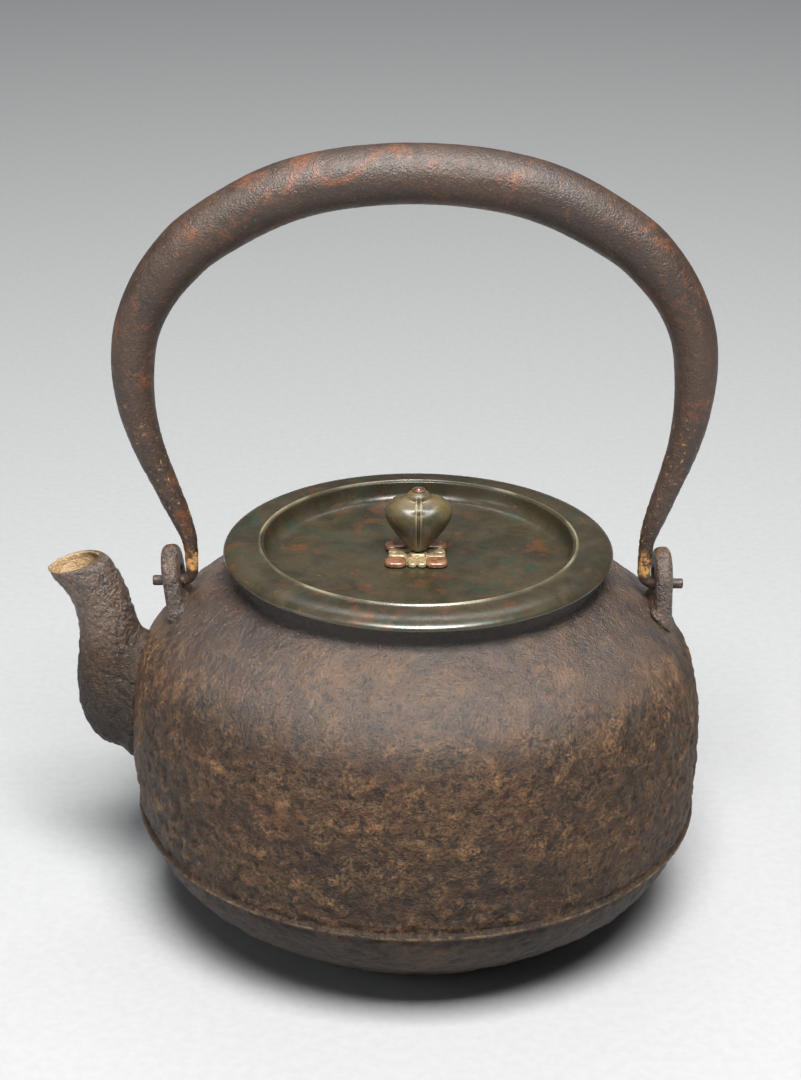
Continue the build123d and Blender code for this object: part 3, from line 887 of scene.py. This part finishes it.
def pillow(centre, half, turn, power):
    """A rounded block: a ball squared off by power, as vertices and faces."""
    rings, steps = PILLOW_RINGS, PILLOW_STEPS
    vertices = []
    for ring in range(rings + 1):
        lift = math.pi * (ring / rings - 0.5)
        for step in range(steps):
            angle = 2 * math.pi * step / steps
            axes = (math.cos(lift) * math.cos(angle), math.cos(lift) * math.sin(angle), math.sin(lift))
            length = sum(abs(a) ** power for a in axes) ** (1 / power)
            x, y, z = [a / length * h for a, h in zip(axes, half)]
            vertices.append((centre[0] + x * math.cos(turn) - y * math.sin(turn),
                             centre[1] + x * math.sin(turn) + y * math.cos(turn), centre[2] + z))
    faces = []
    for ring in range(rings):
        for step in range(steps):
            low, high = ring * steps, (ring + 1) * steps
            onward = (step + 1) % steps
            faces.append((low + step, low + onward, high + onward, high + step))
    return vertices, faces


def blocks(name, parts, body):
    """Several rounded blocks run together into one casting."""
    vertices, faces = [], []
    for part_vertices, part_faces in parts:
        faces += [tuple(corner + len(vertices) for corner in face) for face in part_faces]
        vertices += part_vertices
    piece = new_piece(name, vertices, faces, body)
    apply_modifier(piece, "REMESH", mode="VOXEL", voxel_size=SEAT_VOXEL * MM)
    apply_modifier(piece, "SMOOTH", factor=0.5, iterations=2)
    return piece


lobes = []
rays = [pillow((SEAT_SHIFT / 2, 0, plate_top + SEAT_BASE[2]), SEAT_BASE, 0.0, 5),
        pillow((0, 0, plate_top + SEAT_HUB[2]), SEAT_HUB, 0.0, 5)]
for quarter in range(4):
    turn = quarter * math.pi / 2
    diagonal = turn + math.pi / 4
    reach = LOBE_PLACE * math.sqrt(2)
    corner = (SEAT_SHIFT + reach * math.cos(diagonal), reach * math.sin(diagonal),
              plate_top + LOBE_SIZE[2])
    lobes.append(pillow(corner, LOBE_SIZE, 0.0, 3.4))
    for half in (-1, 1):
        aside = half * RAY_SPREAD
        along = (SEAT_SHIFT / 2 + RAY_PLACE * math.cos(turn) - aside * math.sin(turn),
                 RAY_PLACE * math.sin(turn) + aside * math.cos(turn), plate_top + RAY_SIZE[2])
        rays.append(pillow(along, RAY_SIZE, turn, 4))
seat_lobes = blocks("seat_lobes", lobes, "lid")
seat_rays = blocks("seat_rays", rays, "lid")
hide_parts("knob_seat")
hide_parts("knob_seat")
give(seat_lobes, lobe_copper)
give(seat_rays, ray_brass)

for node in ("knob_ferrule", "knob_pin", "pin_washer"):
    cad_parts[node].data.materials.clear()
    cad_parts[node].data.materials.append(pin_copper)

# ---------------------------------------------------------------- floor, light and camera

FLOOR_SIZE = 16000.0
# A hair below the base, so that the two don't share a plane.
FLOOR_HEIGHT = -0.05


def make_floor():
    """The plain pale floor, wide enough to run behind the whole view."""
    paint = Paint("studio_floor", shine=0.2)
    grain = paint.noise(3, 4, 0.6)
    colour = paint.blend(paint.between(grain, 0.3, 0.7), tint(154, 155, 156), tint(158, 159, 160))
    material = paint.finish(colour, 0.9, [])
    half = FLOOR_SIZE / 2 * MM
    mesh = bpy.data.meshes.new("floor")
    corners = [(x * half, y * half, FLOOR_HEIGHT * MM) for x, y in ((-1, -1), (1, -1), (1, 1), (-1, 1))]
    mesh.from_pydata(corners, [], [(0, 1, 2, 3)])
    floor = bpy.data.objects.new("floor", mesh)
    bpy.context.scene.collection.objects.link(floor)
    mesh.materials.append(material)


def make_light(name, place, aim, size, power, colour):
    """A soft rectangular lamp at a place, aimed at another."""
    data = bpy.data.lights.new(name, "AREA")
    data.shape = "RECTANGLE"
    data.size, data.size_y = size[0] * MM, size[1] * MM
    data.energy = power
    data.color = colour
    light = bpy.data.objects.new(name, data)
    bpy.context.scene.collection.objects.link(light)
    light.location = Vector(place) * MM
    light.rotation_euler = (Vector(aim) * MM - light.location).to_track_quat("-Z", "Y").to_euler()


def make_camera():
    """The camera, pitched down and slightly rolled."""
    data = bpy.data.cameras.new("camera")
    data.lens = CAMERA_LENS
    data.clip_start, data.clip_end = 0.01, 50
    camera = bpy.data.objects.new("camera", data)
    bpy.context.scene.collection.objects.link(camera)
    camera.matrix_world = (
        Matrix.Translation(Vector(CAMERA_PLACE) * MM)
        @ Matrix.Rotation(math.radians(90 - CAMERA_PITCH), 4, "X")
        @ Matrix.Rotation(math.radians(CAMERA_ROLL), 4, "Z")
    )
    bpy.context.scene.camera = camera


make_floor()
make_light("overhead", (70, -700, 1420), (0, 0, 90), (760, 560), 68, (1.0, 0.99, 0.97))
make_light("left_fill", (-1500, -700, 700), (0, 0, 100), (700, 700), 4, (0.95, 0.97, 1.0))
make_light("back", (0, 1500, 2600), (0, 1300, 0), (1800, 900), 24, (0.98, 0.99, 1.0))
make_camera()

world = bpy.data.worlds.new("studio")
world.use_nodes = True
world.node_tree.nodes["Background"].inputs["Color"].default_value = tint(90, 91, 93)
bpy.context.scene.world = world
bpy.context.scene.view_settings.view_transform = "Standard"
